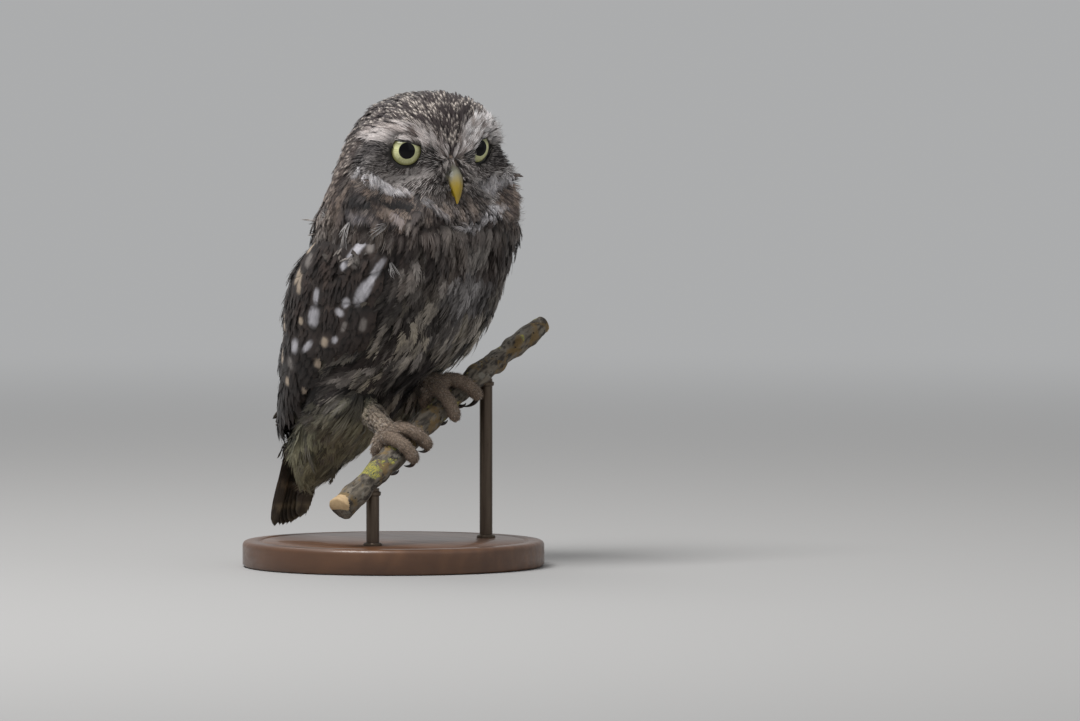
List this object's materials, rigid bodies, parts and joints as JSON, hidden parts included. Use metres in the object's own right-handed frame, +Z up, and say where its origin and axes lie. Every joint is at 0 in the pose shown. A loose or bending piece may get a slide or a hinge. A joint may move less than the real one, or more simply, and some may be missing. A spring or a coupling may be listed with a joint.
{
  "type": "life-size little owl on a perch with a display stand",
  "caption": "Still, life-size little owl gripping a short cut length of branch, held by a plain round display stand with two rods.",
  "frame": {"origin": "middle of the underside of the display stand's round base", "axes": "+Z up, -Y is the way the owl's body faces, +X is the owl's left and the rising end of the perch"},
  "size_m": [0.1518, 0.14, 0.22],
  "materials": {
    "plumage_head": "matte, short feathers with fine pale streaks",
    "plumage_breast": "matte, soft feathers with dark streaks",
    "plumage_wing": "matte, firm feathers with cream spots",
    "eye": "glossy",
    "bill": "satin horn",
    "leg": "matte, bristly feathers over fine scales",
    "claw": "satin horn",
    "bark": "rough bark with lichen",
    "stand_wood": "satin, waxed",
    "stand_metal": "satin, darkened"
  },
  "bodies": {
    "root": {"head": "plumage_head", "neck": "plumage_breast", "torso": "plumage_breast", "eye_right": "eye", "eye_left": "eye", "bill_upper": "bill", "bill_lower": "bill", "wing_right": "plumage_wing", "wing_left": "plumage_wing", "tail": "plumage_wing", "thigh_right": "plumage_breast", "tarsus_right": "leg", "foot_right": "leg", "toe_right_1": "leg", "toe_right_2": "leg", "toe_right_3": "leg", "toe_right_4": "leg", "claw_right_1": "claw", "claw_right_2": "claw", "claw_right_3": "claw", "claw_right_4": "claw", "thigh_left": "plumage_breast", "tarsus_left": "leg", "foot_left": "leg", "toe_left_1": "leg", "toe_left_2": "leg", "toe_left_3": "leg", "toe_left_4": "leg", "claw_left_1": "claw", "claw_left_2": "claw", "claw_left_3": "claw", "claw_left_4": "claw", "perch_branch": "bark", "stand_rod_low": "stand_metal", "stand_rod_high": "stand_metal", "stand_base": "stand_wood"}
  },
  "joints": []
}
